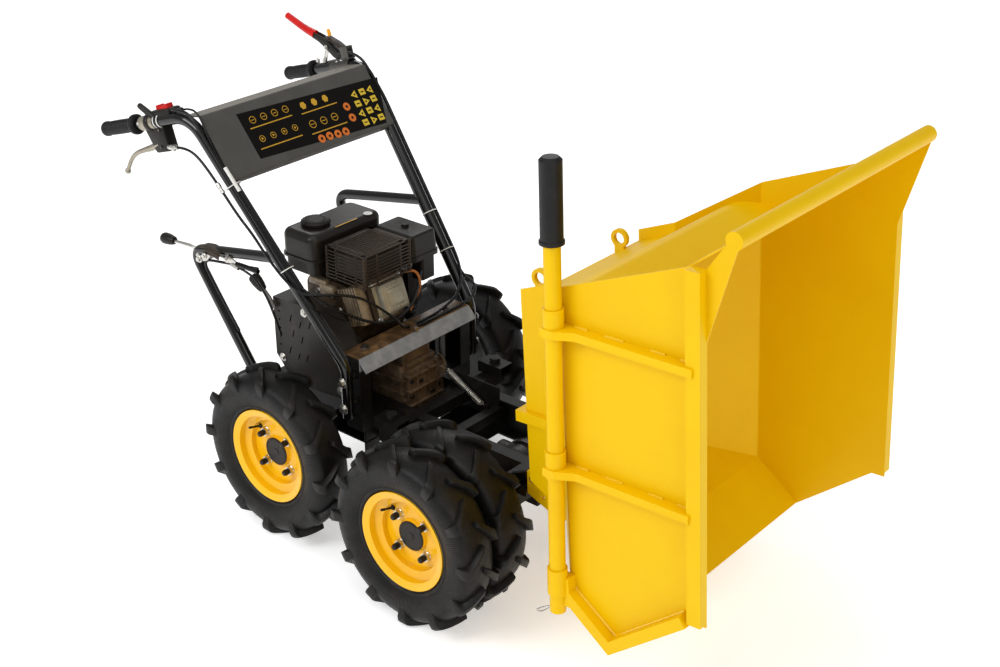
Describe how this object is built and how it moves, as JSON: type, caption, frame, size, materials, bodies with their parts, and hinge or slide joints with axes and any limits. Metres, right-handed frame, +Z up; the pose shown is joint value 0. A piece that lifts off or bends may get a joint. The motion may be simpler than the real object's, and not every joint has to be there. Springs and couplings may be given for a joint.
{
  "type": "walk-behind site dumper",
  "caption": "Walk-behind site dumper with an engine at the rear, a tipping skip at the front, shown tipped, and long steering handles.",
  "frame": {"origin": "on the ground, under the middle of the machine's length and width", "axes": "+X towards the skip, +Y to the machine's left, +Z up"},
  "size_m": [1.7925, 0.876, 1.1397],
  "materials": {
    "black_plastic": "matte",
    "bright_steel": "satin",
    "cover_metal": "satin",
    "engine_metal": "cast",
    "frame_paint": "satin",
    "gear_case": "cast",
    "grip_rubber": "matte",
    "guard_steel": "matte",
    "handle_paint": "gloss",
    "red_plastic": "satin",
    "rim_paint": "gloss",
    "rubber": "matte",
    "skip_paint": "satin",
    "tank_paint": "gloss",
    "tyre": "matte"
  },
  "bodies": {
    "chassis": {"air_cleaner": "black_plastic", "belt_guard": "black_plastic", "brake_cable": "black_plastic", "brake_lever": "bright_steel", "chassis_frame": "frame_paint", "control_panel": "frame_paint", "drive_cable": "black_plastic", "drive_lever": "black_plastic", "drive_lever_sleeve": "red_plastic", "drive_shaft": "gear_case", "engine_block": "engine_metal", "engine_deck": "frame_paint", "engine_stand": "frame_paint", "engine_switch": "black_plastic", "fan_housing": "black_plastic", "front_axle": "gear_case", "fuel_cap": "black_plastic", "fuel_tank": "tank_paint", "gear_cable": "black_plastic", "gear_knobs": "black_plastic", "gear_levers": "bright_steel", "gearbox": "gear_case", "grip_left": "grip_rubber", "grip_right": "grip_rubber", "handle_tube_left": "handle_paint", "handle_tube_right": "handle_paint", "hinge_pins": "bright_steel", "muffler": "guard_steel", "muffler_guard": "guard_steel", "rear_axle": "gear_case", "rear_brace_left": "handle_paint", "rear_brace_right": "handle_paint", "rubber_buffers": "rubber", "switch_housing": "black_plastic", "tension_spring": "bright_steel", "throttle_cable": "black_plastic", "thumb_lever": "black_plastic", "valve_cover": "cover_metal"},
    "skip": {"skip_belly_band": "skip_paint", "skip_floor": "skip_paint", "skip_hinge_ears": "skip_paint", "skip_lifting_eyes": "skip_paint", "skip_rear_wall": "skip_paint", "skip_ribs_left": "skip_paint", "skip_ribs_right": "skip_paint", "skip_rim_bar_left": "skip_paint", "skip_rim_bar_right": "skip_paint", "skip_side_left": "skip_paint", "skip_side_right": "skip_paint", "skip_spill_guard": "skip_paint", "tipping_lever": "skip_paint", "tipping_lever_grip": "grip_rubber"},
    "rear_right_wheel": {"rear_right_rim": "rim_paint", "rear_right_tyre": "tyre"},
    "rear_left_wheel": {"rear_left_rim": "rim_paint", "rear_left_tyre": "tyre"},
    "front_right_wheels": {"front_right_rims": "rim_paint", "front_right_tyres": "tyre"},
    "front_left_wheels": {"front_left_rims": "rim_paint", "front_left_tyres": "tyre"}
  },
  "joints": [
    {"name": "skip_tip", "type": "hinge", "parent": "chassis", "child": "skip", "pos_m": [0.32045, 0, 0.312], "axis": [0, 1, 0], "range_deg": [-86.25, 0]},
    {"name": "rear_right_spin", "type": "hinge", "parent": "chassis", "child": "rear_right_wheel", "pos_m": [-0.31755, -0.328, 0.211], "axis": [0, 1, 0], "continuous": true},
    {"name": "rear_left_spin", "type": "hinge", "parent": "chassis", "child": "rear_left_wheel", "pos_m": [-0.31755, 0.328, 0.211], "axis": [0, 1, 0], "continuous": true},
    {"name": "front_right_spin", "type": "hinge", "parent": "chassis", "child": "front_right_wheels", "pos_m": [0.16445, -0.328, 0.211], "axis": [0, 1, 0], "continuous": true},
    {"name": "front_left_spin", "type": "hinge", "parent": "chassis", "child": "front_left_wheels", "pos_m": [0.16445, 0.328, 0.211], "axis": [0, 1, 0], "continuous": true}
  ]
}
